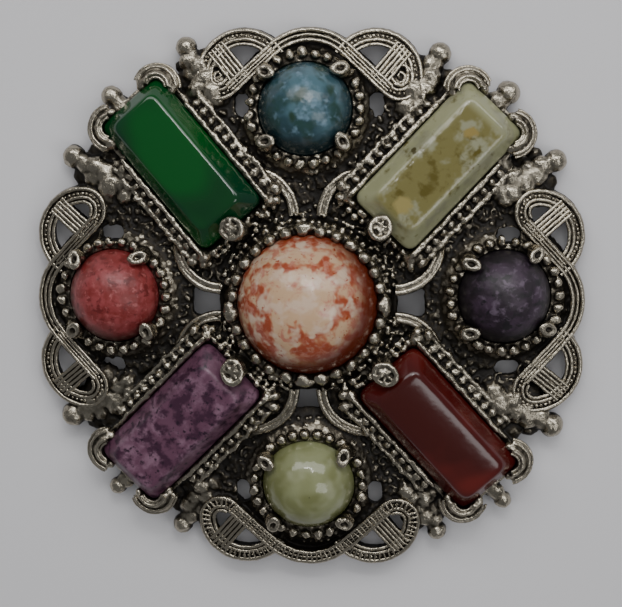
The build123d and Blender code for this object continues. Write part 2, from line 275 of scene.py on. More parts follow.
# the border's strands: low bodies that melt into the casting, crisp ridges and grains over them
# bodies: sideways shift, half width, half height; ridges: sideways shift, radius
strand = {
    "reach": 27.85, "width": 1.45, "middleLobe": 6.05, "sideLobe": 6.6, "sideDepth": 0.1, "sideEnd": -58.0,
    "loopOffset": 9.05, "loopDepth": 4.95, "loopRadius": 1.65, "diagonalTurn": 45.0, "diagonalFoot": 0.75,
    "bodyHeight": 0.45,
    "bodies": {
        "middle": (0.0, 0.55, 0.33), "crossing": (0.0, 0.55, 0.33), "loop": (-0.2, 0.8, 0.38),
        "side": (-0.2, 0.8, 0.38), "diagonal": (0.0, 1.0, 0.4),
    },
    "ridges": {
        "middle": ((-0.5, 0.23), (0.0, 0.15), (0.5, 0.23)),
        "crossing": ((-0.5, 0.22), (-0.16, 0.14), (0.16, 0.14), (0.5, 0.22)),
        "loop": ((-0.85, 0.2), (-0.38, 0.2), (0.5, 0.22)),
        "side": ((-0.85, 0.2), (-0.38, 0.2), (0.5, 0.24)),
        "diagonal": ((-0.84, 0.19), (-0.42, 0.19), (0.0, 0.19), (0.42, 0.19), (0.84, 0.19)),
    },
    "ridgeTop": 1.08, "innerWithin": 0.3, "innerDrop": 0.06,
    "overLift": {"middle": 0.1, "crossing": 0.17, "diagonal": 0.08, "loop": 0.0, "side": 0.0},
    "grain": 0.15, "grainPitch": 0.46, "grainDrop": 0.2, "grainSizes": (0.75, 1.2),
    "grainShape": (1.3, 1.1, 1), "grainShift": 0.05,
    "notch": 0.12, "notchPitch": 0.5, "notchDrop": 0.05, "notchSizes": (0.8, 1.2), "notchLength": 0.62,
    "notchTurn": 12,
    "volute": (1.22, 0.86, 0.52, 0.22), "voluteWire": 0.19, "voluteDrop": 0.2, "voluteShift": 0.17,
    "gapWire": ((8.8, 5.7), 4.3, -90, 0), "gapRidges": ((-0.3, 0.3), (0.3, 0.3)), "gapHeight": 0.58,
    "lumps": (0.5, 0.16),
}
wire = {"corners": 10, "step": 0.35}


def knotPaths(reach):
    # half of a side's interlace as arcs and lines, x outwards and y along the side
    s = strand
    middle = (reach - s["middleLobe"], 0.0)
    middleRadius = s["middleLobe"] - s["width"] / 2
    loop = (reach - s["loopDepth"], s["loopOffset"])
    away = math.hypot(loop[0] - middle[0], loop[1])
    heading = math.degrees(math.atan2(loop[1], loop[0] - middle[0]))
    leave = heading - math.degrees(math.acos((middleRadius + s["loopRadius"]) / away))
    aim = polar(leave, 1)
    start = (middle[0] + middleRadius * aim[0], middleRadius * aim[1])
    end = (loop[0] - s["loopRadius"] * aim[0], loop[1] - s["loopRadius"] * aim[1])
    top = reach - s["sideDepth"] - s["width"] / 2
    rise, apart = top - loop[0], loop[1] - s["sideLobe"]
    sideRadius = (rise**2 + apart**2 - s["loopRadius"] ** 2) / (2 * (rise - s["loopRadius"]))
    side = (top - sideRadius, s["sideLobe"])
    touch = math.degrees(math.atan2(apart, loop[0] - side[0]))
    turned = polar(s["diagonalTurn"], sideRadius)
    diagonalStart = (side[0] + turned[0], side[1] + turned[1])
    diagonalEnd = tuple(a + (b - a) * s["diagonalFoot"] for a, b in zip(start, end))
    return {
        "middle": ("arc", middle, middleRadius, 0.0, leave),
        "crossing": ("line", start, end),
        "loop": ("arc", loop, s["loopRadius"], touch, 180 + leave),
        "side": ("arc", side, sideRadius, s["sideEnd"], touch),
        "diagonal": ("line", diagonalStart, diagonalEnd),
    }


def pathLength(path):
    if path[0] == "line":
        return math.dist(path[1], path[2])
    return path[2] * math.radians(abs(path[4] - path[3]))


def alongPath(path, share):
    # point and heading in degrees at a share of the path's length
    if path[0] == "line":
        x, y = (a + (b - a) * share for a, b in zip(path[1], path[2]))
        return x, y, math.degrees(math.atan2(path[2][1] - path[1][1], path[2][0] - path[1][0]))
    angle = path[3] + (path[4] - path[3]) * share
    x, y = polar(angle, path[2])
    return path[1][0] + x, path[1][1] + y, angle + 90


def rowAlong(path, pitch):
    # points and headings of an even row on a path
    count = round(pathLength(path) / pitch)
    return [alongPath(path, (i + 0.5) / count) for i in range(count)]


def sweptWire(path, offset, lift, radius, flat=1.0):
    # a round or flattened wire that follows the path, shifted sideways
    x, y, heading = alongPath(path, 0)
    side = polar(heading - 90, offset)
    bpy.ops.mesh.primitive_circle_add(
        vertices=wire["corners"], radius=radius, fill_type="NGON",
        location=(x + side[0], y + side[1], lift), rotation=(math.pi / 2, 0, math.radians(heading - 90)))
    piece = newest("wire")
    piece.scale = (1, flat, 1)
    settled(piece)
    bpy.ops.object.mode_set(mode="EDIT")
    bpy.ops.mesh.select_all(action="SELECT")
    steps = max(2, round(pathLength(path) / wire["step"]))
    if path[0] == "arc":
        # a spin turns clockwise about an axis that points up
        turn = math.radians(path[3] - path[4])
        bpy.ops.mesh.spin(steps=steps, angle=turn, center=(*path[1], 0), axis=(0, 0, 1))
    else:
        step = [(b - a) / steps for a, b in zip(path[1], path[2])]
        for _ in range(steps):
            bpy.ops.mesh.extrude_region_move(TRANSFORM_OT_translate={"value": (*step, 0)})
    bpy.ops.mesh.select_all(action="SELECT")
    bpy.ops.mesh.normals_make_consistent(inside=False)
    bpy.ops.object.mode_set(mode="OBJECT")
    return piece


def grain():
    bpy.ops.mesh.primitive_uv_sphere_add(segments=8, ring_count=6, radius=1.0)
    return newest("grain")


def bothHalves(wires, angle):
    # a side's half and its mirror image, turned to their place
    turn = Matrix.Rotation(math.radians(angle), 4, "Z")
    half = joined(wires, "half")
    other = ownCopy(half, "half", Matrix.Diagonal((1, -1, 1, 1)))
    return [closedUp(settled(piece, turn @ piece.matrix_world)) for piece in (half, other)]


def borderRelief():
    # the strands' low bodies, which melt into the casting
    s = strand
    pieces = []
    for angle, share in sides.values():
        half = []
        for name, path in knotPaths(s["reach"] * share).items():
            offset, radius, thick = s["bodies"][name]
            lift = s["bodyHeight"] + s["overLift"][name]
            half.append(sweptWire(path, offset, lift, radius, thick / radius))
        pieces += bothHalves(half, angle)
    return liftedOntoDome(joined(pieces, "borderRelief"))


def barPlane(node):
    angle, share, turn = barStones[node]
    return onDome(*polar(angle, share * stoneSizes["barRing"]), turn, barSetting["lift"])


def leafCurl(hand):
    # the middle of the curled leaf at a bar's corner, and the angles where it starts and ends
    inset = barSetting["corner"]
    corner = (stoneSizes["barLength"] / 2 - inset, hand * (stoneSizes["barWidth"] / 2 - inset))
    start, end = barSetting["leafSpan"]
    return (corner, start, end) if hand > 0 else (corner, -end, -start)


def leafRidges():
    # crisp ridges round the curled leaves at the bars' corners
    pieces = []
    for node in barStones:
        plane = barPlane(node)
        for hand in (-1, 1):
            corner, start, end = leafCurl(hand)
            for bend, height, radius in barSetting["leafRidges"]:
                trim = rng.uniform(*barSetting["leafTrim"])
                ridge = sweptWire(("arc", corner, bend, start + trim, end - trim), 0, height, radius)
                pieces.append(closedUp(settled(ridge, plane)))
    return pieces


def borderRidges():
    # the crisp ridges and grains on the strands: too fine for the melted skin, so they lie on it as they are
    s = strand
    pieces, grainPlaces = [], []
    for sideName, (angle, share) in sides.items():
        turn = Matrix.Rotation(math.radians(angle), 4, "Z")
        half = []
        paths = knotPaths(s["reach"] * share)
        for name, path in paths.items():
            top = s["ridgeTop"] + s["overLift"][name]
            for offset, radius in s["ridges"][name]:
                drop = s["innerDrop"] if abs(offset) < s["innerWithin"] else 0
                half.append(sweptWire(path, offset, top - radius - drop, radius))
            # a row of grains between two ridges
            for x, y, heading in rowAlong(path, s["grainPitch"]) if name in ("loop", "side") else ():
                for hand in (1, -1):
                    size = s["grain"] * rng.uniform(*s["grainSizes"])
                    shape = [part * size for part in s["grainShape"]]
                    place = (x + eitherWay(s["grainShift"]), hand * y, top - s["grainDrop"])
                    grainPlaces.append(turn @ spot(*place, hand * heading, scale=shape))
            # the lowest side's strands carry short ribs crosswise, with notches between them
            isNotched = sideName == "south" and name != "diagonal"
            for x, y, heading in rowAlong(path, s["notchPitch"]) if isNotched else ():
                for hand in (1, -1):
                    size = s["notch"] * rng.uniform(*s["notchSizes"])
                    across = hand * (heading + eitherWay(s["notchTurn"]))
                    place = (x, hand * y, top - s["notchDrop"])
                    grainPlaces.append(turn @ spot(*place, across, scale=(size, s["notchLength"], size)))
        for offset, radius in s["gapRidges"]:
            # the bent wire beside the middle setting, doubled into a ribbon
            half.append(sweptWire(("arc", *s["gapWire"]), offset, s["gapHeight"], radius))
        for i, radius in enumerate(s["volute"] if sideName == "north" else ()):
            # half circles that shrink towards the middle of the end loop
            x, y = paths["loop"][1]
            bend = ("arc", (x + (s["voluteShift"] if i % 2 else 0), y), radius, 180 * i, 180 * i + 180)
            half.append(sweptWire(bend, 0, s["ridgeTop"] - s["voluteDrop"], s["voluteWire"]))
        pieces += bothHalves(half, angle)
    pieces += copiesAt(grain(), grainPlaces)
    ridges = joined([liftedOntoDome(joined(pieces, "borderRidges")), *leafRidges()], "borderRidges")
    madeLumpy(ridges, *s["lumps"])
    keptInBox(ridges)
    addModifier(ridges, "TRIANGULATE")
    return backToMetres(ridges)


# the openings through the dome: two holes beside each small setting, gaps beside the middle one
openings = {
    "holeAt": (20.0, 6.75), "holeHalf": (1.4, 0.85), "gapAt": 10.3, "gapHalf": (1.5, 1.6),
    "gapSides": (0, 180, 270), "gapClear": 10,
}


def isOpen(x, y):
    for angle, share in sides.values():
        out, beside = seenFrom(x, y, angle)
        hole = (share * openings["holeAt"][0], openings["holeAt"][1])
        gap = (openings["gapAt"], 0)
        if isWithin((out, abs(beside)), hole, openings["holeHalf"]):
            return True
        if angle in openings["gapSides"] and isWithin((out, beside), gap, openings["gapHalf"]):
            return True
    return False


# the settings: uneven beads, granules round their feet, rolled claws
# ovals: angle, size; foot rings: radius, size, height
roundSetting = {
    "centreRing": 7.43, "centrePitch": 1.72, "centreBead": 0.58, "centreBeads": (0.7, 1.1), "centreTop": 1.2,
    "centreLift": 0.55, "footRings": ((8.3, 0.3, 0.45), (8.85, 0.27, -0.1)), "footPitch": 2.6,
    "ovals": ((92, 0.75), (268, 0.75), (0, 0.8), (186, 0.85)), "ovalShape": (0.8, 1.5, 0.8),
    "ovalOut": 0.35, "ovalTop": 1.15,
    "lift": 0.15, "ring": 5.49, "pitch": 1.3, "bead": 0.46, "beads": (0.85, 1.1), "beadOut": 0.1,
    "beadTop": 1.05,
    "smallFootRings": ((6.1, 0.3, 0.15), (6.75, 0.24, -0.15)), "smallFootPitch": 2.7, "smallFeet": (0.6, 1.2),
    "clawRing": 5.15, "clawTop": 2.68, "clawRoll": 0.54, "clawWire": 0.3, "clawTurn": 40, "clawTilt": 20,
    "clawShape": (1.3, 0.85, 1), "clawFacets": (20, 8),
}
# how far a bead is from even: degrees round its ring, way out, stretch along its axes, degrees of tilt
uneven = {"round": 2.5, "out": (-0.12, 0.22), "stretch": ((0.75, 1.3), (0.75, 1.2), (0.85, 1.15)), "tilt": 20}


def unevenBead(plane, angle, ring, height, size):
    # a bead near its place on a ring, pulled out of round
    x, y = polar(angle + eitherWay(uneven["round"]), ring + rng.uniform(*uneven["out"]))
    stretch = [size * rng.uniform(*part) for part in uneven["stretch"]]
    return plane @ spot(x, y, height, angle, eitherWay(uneven["tilt"]), stretch)


def evenTurns(ring, pitch):
    # angles round a ring, one pitch apart but for the last gap
    return [math.degrees(i * pitch / ring) for i in range(round(2 * math.pi * ring / pitch))]


def rolledClaws(name, roll, thickness, facets, places):
    bpy.ops.mesh.primitive_torus_add(
        major_radius=roll, minor_radius=thickness, major_segments=facets[0], minor_segments=facets[1])
    return copiesAt(newest(name), places)


def roundRelief():
    s = roundSetting
    beads, rolls = [], []
    centre = Matrix.Translation((0, 0, dome["height"] + s["centreLift"]))
    count = round(2 * math.pi * s["centreRing"] / s["centrePitch"])
    for i in range(count):
        size = s["centreBead"] * rng.uniform(*s["centreBeads"])
        beads.append(unevenBead(centre, 360 * i / count, s["centreRing"], s["centreTop"], size))
    for angle, size in s["ovals"]:
        place = polar(angle, s["centreRing"] + s["ovalOut"])
        shape = [part * size for part in s["ovalShape"]]
        beads.append(centre @ spot(*place, s["ovalTop"], angle, scale=shape))
    for ring, size, height in s["footRings"]:
        for angle in evenTurns(ring, size * s["footPitch"]):
            # none hangs over a gap
            apart = [abs((angle - side + 180) % 360 - 180) for side in openings["gapSides"]]
            if min(apart) > openings["gapClear"]:
                beads.append(unevenBead(centre, angle, ring, height, size))
    for angle, share, claws in smallStones.values():
        plane = onDome(*polar(angle, share * stoneSizes["smallRing"]), 0, s["lift"])
        count = round(2 * math.pi * s["ring"] / s["pitch"])
        for i in range(count):
            size = s["bead"] * rng.uniform(*s["beads"])
            beads.append(unevenBead(plane, 360 * i / count, s["ring"] + s["beadOut"], s["beadTop"], size))
        for ring, size, height in s["smallFootRings"]:
            for turn in evenTurns(ring, size * s["smallFootPitch"]):
                bead = unevenBead(plane, turn, ring, height, size * rng.uniform(*s["smallFeet"]))
                if not isOpen(bead.translation.x, bead.translation.y):
                    beads.append(bead)
        for claw in claws:
            turn = claw + eitherWay(s["clawTurn"])
            place = polar(claw, s["clawRing"])
            rolls.append(plane @ spot(*place, s["clawTop"], turn, s["clawTilt"], s["clawShape"]))
    pieces = copiesAt(grain(), beads)
    pieces += rolledClaws("clawRoll", s["clawRoll"], s["clawWire"], s["clawFacets"], rolls)
    return joined(pieces, "roundRelief")


# the bar settings: bead rows between two beaten rails, rolled claws, leaf tips
# leaf wires and ridges: bend, height, radius; end rows: along, height, size; end corners: along, across, size
barSetting = {
    "lift": 0.15, "shift": -2.1, "length": 12.4,
    "beadAcross": 4.95, "beadPitch": 1.15, "bead": 0.48, "beadHeight": 0.62, "beadShift": 0.12,
    "beads": (0.8, 1.2),
    "ridgePitch": 0.6, "railAcross": 4.34, "railTop": 1.44, "railShift": 0.07, "railLength": 0.55,
    "railWidths": (0.22, 0.34), "railHeights": (0.14, 0.26),
    "outerAcross": 5.66, "outerHeight": 0.55, "outerShift": 0.15, "outerTurn": 40, "outerLength": 1.8,
    "ridge": 0.27, "ridges": (0.7, 1.3),
    "corner": 0.9, "leafSpan": (-30, 130), "leafWires": ((1.3, 1.72, 0.46), (2.0, 1.36, 0.42)),
    "leafRidges": ((0.98, 2.04, 0.15), (1.35, 2.18, 0.18), (2.05, 1.78, 0.18), (2.4, 1.48, 0.15)),
    "leafTrim": (-6, 10), "leafTips": (-36, 136), "tipOut": 1.55, "tipHeight": 1.45, "tip": 0.55,
    "tips": (0.8, 1.15), "tipWidth": 1.3,
    "endRows": ((-8.75, 0.62, 0.42), (-9.35, 0.3, 0.36)), "endLength": 9.4, "endPitch": 0.85,
    "endShift": (0.2, 0.15), "endBeads": (0.7, 1.3),
    "endCorners": ((-8.5, 4.35, 0.7), (-8.1, 5.55, 0.6), (-9.1, 4.9, 0.5)), "cornerHeight": 0.6,
    "cornerBeads": (0.8, 1.25),
    "endClaw": (-8.7, 3.36), "endRoll": 1.02, "endWire": 0.3, "endTilt": -14, "endShape": (1.1, 0.95, 1),
    "endFacets": (24, 8),
    "bits": (20, 80, 140, 200, 250, 320), "bitTurn": 20, "bitOut": (0.25, 0.7), "bitLift": 0.2,
    "bitShape": (0.34, 0.16, 0.16),
}


def railRelief(plane, hand):
    # a row of beads and the tops of the two rails beside it, beaten uneven
    s = barSetting
    beads = []
    for place in evenRow(s["length"], s["beadPitch"]):
        along = s["shift"] + place + eitherWay(s["beadShift"])
        shape = [s["bead"] * rng.uniform(*s["beads"]) for _ in range(3)]
        turn = rng.uniform(0, 90)
        beads.append(plane @ spot(along, hand * s["beadAcross"], s["beadHeight"], turn, scale=shape))
    for place in evenRow(s["length"], s["ridgePitch"]):
        along = s["shift"] + place
        across = s["railAcross"] + eitherWay(s["railShift"])
        shape = (s["railLength"], rng.uniform(*s["railWidths"]), rng.uniform(*s["railHeights"]))
        beads.append(plane @ spot(along, hand * across, s["railTop"], scale=shape))
        across = s["outerAcross"] + eitherWay(s["outerShift"])
        size = s["ridge"] * rng.uniform(*s["ridges"])
        turn = hand * rng.uniform(0, s["outerTurn"])
        shape = (s["outerLength"] * size, size, size)
        beads.append(plane @ spot(along, hand * across, s["outerHeight"], turn, scale=shape))
    return beads


def endRelief(plane):
    # rows and corners of beads beyond a bar's inner end, its rolled claw, and bits of wire on that
    s = barSetting
    beads = []
    for along, height, size in s["endRows"]:
        for place in evenRow(s["endLength"], s["endPitch"]):
            across = place + eitherWay(s["endShift"][0])
            shape = [size * rng.uniform(*s["endBeads"]) for _ in range(3)]
            back = along + eitherWay(s["endShift"][1])
            beads.append(plane @ spot(back, across, height, rng.uniform(0, 90), scale=shape))
    for along, across, size in s["endCorners"]:
        for hand in (-1, 1):
            shape = [size * rng.uniform(*s["cornerBeads"]) for _ in range(3)]
            turn = rng.uniform(0, 90)
            beads.append(plane @ spot(along, hand * across, s["cornerHeight"], turn, scale=shape))
    along, height = s["endClaw"]
    claw = plane @ spot(along, 0, height, rng.uniform(0, 360), s["endTilt"], s["endShape"])
    for turn in s["bits"]:
        x, y = polar(turn + eitherWay(s["bitTurn"]), rng.uniform(*s["bitOut"]))
        beads.append(plane @ spot(along + x, y, height + s["bitLift"], turn, scale=s["bitShape"]))
    return beads, claw


def barRelief():
    s = barSetting
    beads, rolls, wires = [], [], []
    for node in barStones:
        plane = barPlane(node)
        for hand in (-1, 1):
            beads += railRelief(plane, hand)
            corner, start, end = leafCurl(hand)
            for bend, height, size in s["leafWires"]:
                wires.append(settled(sweptWire(("arc", corner, bend, start, end), 0, height, size), plane))
            for tip in s["leafTips"]:
                x, y = polar(tip * hand, s["tipOut"])
                size = s["tip"] * rng.uniform(*s["tips"])
                place = (corner[0] + x, corner[1] + y, s["tipHeight"])
                beads.append(plane @ spot(*place, tip * hand, scale=(size, s["tipWidth"] * size, size)))
        endBeads, claw = endRelief(plane)
        beads += endBeads
        rolls.append(claw)
    pieces = wires + copiesAt(grain(), beads)
    pieces += rolledClaws("endRoll", s["endRoll"], s["endWire"], s["endFacets"], rolls)
    return joined(pieces, "barRelief")


# lumps, granules and curls of wire in the hollows between the settings
field = {
    "inner": 8.8, "outer": 23.5, "foot": 6.0, "barHalf": (8.6, 5.9),
    "grains": 1100, "grainSizes": (0.15, 0.34), "grainLift": 0.3, "grainStretch": (0.8, 1.8),
    "curls": 150, "curl": 0.42, "curlWire": 0.15, "curlTurn": 260, "curlSteps": 10, "curlCorners": 8,
    "curlLift": 0.18, "curlSizes": (0.8, 1.4), "curlStretch": (0.7, 1.3), "curlHeight": 1.3,
}
# where the rim's balls are, and the lumps on the necks behind them
# balls: angle, reach as a share, size; shoulders: back from the ball, sideways, radius, height
rim = {
    "balls": (
        (62.3, 1.005, 1.0), (46.5, 1.035, 1.05), (29.8, 1.02, 1.0), (116.2, 1.015, 0.95),
        (134.5, 1.03, 0.95), (149.1, 1.005, 1.05), (206.7, 0.985, 1.1), (224.8, 1.01, 0.8),
        (240.9, 0.975, 0.9), (298.6, 0.985, 0.85), (313.7, 1.03, 0.8), (332.5, 1.0, 1.1),
    ),
    "shoulders": (
        (1.5, 0.3, 1.15, 1.9), (1.7, 1.4, 1.05, 1.15), (1.7, -1.4, 1.05, 1.15), (2.5, -0.4, 1.3, 2.0),
        (2.9, 0.6, 1.3, 1.9), (3.2, 2.0, 1.25, 1.5), (3.2, -2.0, 1.25, 1.5), (3.8, -0.3, 1.5, 2.15),
        (4.6, 0.6, 1.5, 2.3), (4.8, 1.9, 1.3, 2.2), (4.8, -1.9, 1.3, 2.2), (5.5, -0.5, 1.5, 2.5),
        (6.3, 0.5, 1.2, 2.8), (6.3, -0.7, 1.2, 2.8),
    ),
    "asides": (0.7, 1.2), "widths": (0.9, 1.1), "depths": (0.75, 1.0), "rise": 0.3, "flat": 0.65,
}


def isFree(x, y):
    # outside the settings and the openings
    if isOpen(x, y):
        return False
    for angle, share, _ in smallStones.values():
        if math.dist((x, y), polar(angle, share * stoneSizes["smallRing"])) < field["foot"]:
            return False
    for angle, share, turn in barStones.values():
        middle = polar(angle, share * stoneSizes["barRing"])
        if isWithin(seenFrom(x - middle[0], y - middle[1], turn), (0, 0), field["barHalf"]):
            return False
    return True


def freePlaces(count):
    places = []
    while len(places) < count:
        x, y = polar(rng.uniform(0, 360), math.sqrt(rng.uniform(field["inner"] ** 2, field["outer"] ** 2)))
        if isFree(x, y):
            places.append((x, y))
    return places


def rimLumps():
    lumps = []
    for i, (angle, share, size) in enumerate(rim["balls"]):
        # the middle one of three stands at a bar's end and has room for the nearest lump only
        for back, aside, width, height in rim["shoulders"][:1] if i % 3 == 1 else rim["shoulders"]:
            x, y = polar(angle, share * strand["reach"] - back * size)
            dx, dy = polar(angle + 90, aside * rng.uniform(*rim["asides"]))
            width *= size * rng.uniform(*rim["widths"])
            turn = rng.uniform(0, 360)
            # squashed and raised, so that the back stays even
            shape = (width, width * rng.uniform(*rim["depths"]), rim["flat"] * width)
            lumps.append(spot(x + dx, y + dy, height + rim["rise"] * width, turn, scale=shape))
    return lumps


def wireCurl():
    # most of a turn of thin wire
    bpy.ops.mesh.primitive_circle_add(
        vertices=field["curlCorners"], radius=field["curlWire"], fill_type="NGON",
        location=(field["curl"], 0, 0), rotation=(math.pi / 2, 0, 0))
    curl = newest("curl")
    settled(curl)
    bpy.ops.object.mode_set(mode="EDIT")
    bpy.ops.mesh.select_all(action="SELECT")
    turn = math.radians(field["curlTurn"])
    bpy.ops.mesh.spin(steps=field["curlSteps"], angle=turn, center=(0, 0, 0), axis=(0, 0, 1))
    bpy.ops.mesh.select_all(action="SELECT")
    bpy.ops.mesh.normals_make_consistent(inside=False)
    bpy.ops.object.mode_set(mode="OBJECT")
    return curl


def fieldRelief():
    f = field
    grains, curls = [], []
    for x, y in freePlaces(f["grains"]):
        size = rng.uniform(*f["grainSizes"])
        place = onDome(x, y, rng.uniform(0, 360), size * f["grainLift"])
        grains.append(place @ Matrix.Diagonal((size * rng.uniform(*f["grainStretch"]), size, size, 1)))
    for x, y in freePlaces(f["curls"]):
        size = rng.uniform(*f["curlSizes"])
        place = onDome(x, y, rng.uniform(0, 360), f["curlLift"])
        shape = (size, size * rng.uniform(*f["curlStretch"]), f["curlHeight"], 1)
        curls.append(place @ Matrix.Diagonal(shape))
    pieces = copiesAt(grain(), grains + rimLumps())
    pieces += copiesAt(wireCurl(), curls)
    return joined(pieces, "fieldRelief")


# the casting: everything melted into one skin, then cut in four so that no piece is too heavy
# lumps: size, depth
casting = {
    "voxel": 0.115, "soften": 1, "lumps": ((0.45, 0.14), (1.3, 0.16)),
    "faces": 180000, "sharpFrom": 60,
}


def castFrame():
    base = ownCopy(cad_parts["frame"], "castFrame")
    base.parent = None
    settled(base, Matrix.Scale(toMm, 4))
    closedUp(base, cadWeld)
    print("stage: CAD frame copied,", len(base.data.polygons), "faces")
    cast = joined([base, borderRelief(), roundRelief(), barRelief(), fieldRelief()], "castFrame")
    print("stage: relief added,", len(cast.data.polygons), "faces")
    addModifier(cast, "REMESH", mode="VOXEL", voxel_size=casting["voxel"])
    for size, strength in casting["lumps"]:
        madeLumpy(cast, size, strength)
    addModifier(cast, "SMOOTH", factor=0.5, iterations=casting["soften"])
    print("stage: cast,", len(cast.data.polygons), "faces")
    return cast


def cutSector(cast, name, start, end):
    piece = ownCopy(cast, name)
    selectOnly(piece)
    bpy.ops.object.mode_set(mode="EDIT")
    for angle, keep in ((start, 1), (end, -1)):
        normal = (*polar(angle + 90, keep), 0)
        bpy.ops.mesh.select_all(action="SELECT")
        bpy.ops.mesh.bisect(plane_co=(0, 0, 0), plane_no=normal, use_fill=True, clear_inner=True)
    bpy.ops.object.mode_set(mode="OBJECT")
    return piece


def finishSector(piece):
    addModifier(piece, "TRIANGULATE")
    if len(piece.data.polygons) > casting["faces"]:
        addModifier(piece, "DECIMATE", ratio=casting["faces"] / len(piece.data.polygons))
    keptInBox(piece)
    return backToMetres(piece)


cast = castFrame()
castParts = []
for name, middle in {"castEast": 0, "castNorth": 90, "castWest": 180, "castSouth": 270}.items():
    castParts.append(finishSector(cutSector(cast, name, middle - 45, middle + 45)))
bpy.data.objects.remove(cast)
print("stage: casting cut in four,", [len(p.data.polygons) for p in castParts], "faces")
castParts.append(borderRidges())
print("stage: ridges laid on the border,", len(castParts[-1].data.polygons), "faces")


# materials
smooth = {"interpolation_type": "SMOOTHSTEP"}
fade = {"To_Min": 1.0, "To_Max": 0.0}


def fromHex(code):
    # sRGB hex to the linear values that shaders take
    values = [int(code[i:i + 2], 16) / 255 for i in (1, 3, 5)]
    return tuple(v / 12.92 if v <= 0.04045 else ((v + 0.055) / 1.055) ** 2.4 for v in values) + (1.0,)


def newMaterial(name):
    material = bpy.data.materials.new(name)
    material.use_nodes = True
    tree = material.node_tree
    tree.nodes.clear()
    shader = addNode(tree, "ShaderNodeBsdfPrincipled")
    addNode(tree, "ShaderNodeOutputMaterial", Surface=shader)
    return material, tree, shader


# how the metal is blackened and rubbed: millimetres over the dome where rubbing starts and is full,
# what each cause adds to the wear, and the wear's colours and finish
antiquing = {
    "proud": (0.2, 1.0), "front": (-0.7, -0.3), "hollow": 1.2, "clear": ((0.3, 0.0), (0.85, 1.0)),
    "edges": ((0.47, 0.0), (0.56, 1.0)), "proudWear": 0.8, "edgeWear": 0.95, "grimeWear": 0.6,
    "wear": (0.45, 1.75),
    "colours": ((0.0, "#1d1a17"), (0.45, "#363129"), (0.95, "#b0a897")),
    "roughness": ((0.0, 0.6), (0.5, 0.38), (1.0, 0.22)), "bare": ((0.0, 0.5), (0.45, 1.0)),
    "sootPerMm": 0.7, "skinPerMm": 3.0, "skinDepth": 0.1,
}


def pewter():
    # cast white metal, blackened all over and rubbed back: soft bright high points, near-black sooty hollows
    a = antiquing
    material, tree, shader = newMaterial("cast_pewter_antiqued")
    place = addNode(tree, "ShaderNodeTexCoord").outputs["Object"]
    # height over the dome, in metres: the cloth that rubs the metal bright reaches only what stands proud
    height = addNode(tree, "ShaderNodeSeparateXYZ", Vector=place).outputs["Z"]
    above = addNode(tree, "ShaderNodeMath", "SUBTRACT", i0=height, i1=heightOfDome(tree, place, toMm))
    # nobody rubs the back, so its edges stay black
    low, high = (value / toMm for value in a["front"])
    front = addNode(tree, "ShaderNodeMapRange", Value=above, From_Min=low, From_Max=high)
    low, high = (value / toMm for value in a["proud"])
    proud = addNode(tree, "ShaderNodeMapRange", smooth, Value=above, From_Min=low, From_Max=high)
    hollows = addNode(tree, "ShaderNodeAmbientOcclusion", {"samples": 8}, Distance=a["hollow"] / toMm)
    clear = addNode(tree, "ShaderNodeValToRGB", {"stops": a["clear"]}, Fac=hollows.outputs["AO"])
    edges = addNode(tree, "ShaderNodeNewGeometry").outputs["Pointiness"]
    worn = addNode(tree, "ShaderNodeValToRGB", {"stops": a["edges"]}, Fac=edges)
    worn = addNode(tree, "ShaderNodeMath", "MULTIPLY", i0=worn, i1=front)
    # soot in patches of about 1.4 mm
    grime = addNode(
        tree, "ShaderNodeTexNoise", Vector=place, Scale=a["sootPerMm"] * toMm, Detail=5.0, Roughness=0.65)
    wear = addNode(tree, "ShaderNodeMath", "MULTIPLY", i0=proud, i1=clear)
    wear = addNode(tree, "ShaderNodeMath", "MULTIPLY", i0=wear, i1=a["proudWear"])
    wear = addNode(tree, "ShaderNodeMath", "MULTIPLY_ADD", i0=worn, i1=a["edgeWear"], i2=wear)
    wear = addNode(tree, "ShaderNodeMath", "MULTIPLY_ADD", i0=grime, i1=a["grimeWear"], i2=wear)
    wear = addNode(tree, "ShaderNodeMapRange", Value=wear, From_Min=a["wear"][0], From_Max=a["wear"][1])
    looks = {"Base Color": a["colours"], "Roughness": a["roughness"], "Metallic": a["bare"]}
    for name, stops in looks.items():
        ramp = addNode(tree, "ShaderNodeValToRGB", {"stops": stops}, Fac=wear)
        tree.links.new(ramp.outputs[0], shader.inputs[name])
    # cast skin, grains about 0.3 mm
    skin = addNode(
        tree, "ShaderNodeTexNoise", Vector=place, Scale=a["skinPerMm"] * toMm, Detail=3.0, Roughness=0.6)
    bump = addNode(tree, "ShaderNodeBump", Height=skin, Strength=0.8, Distance=a["skinDepth"] / toMm)
    tree.links.new(bump.outputs[0], shader.inputs["Normal"])
    return material


def steel():
    # drawn, plated steel pin: even and bright
    material, tree, shader = newMaterial("plated_steel_drawn")
    shader.inputs["Base Color"].default_value = fromHex("#a9a7a2")
    shader.inputs["Metallic"].default_value = 1.0
    shader.inputs["Roughness"].default_value = 0.35
    return material


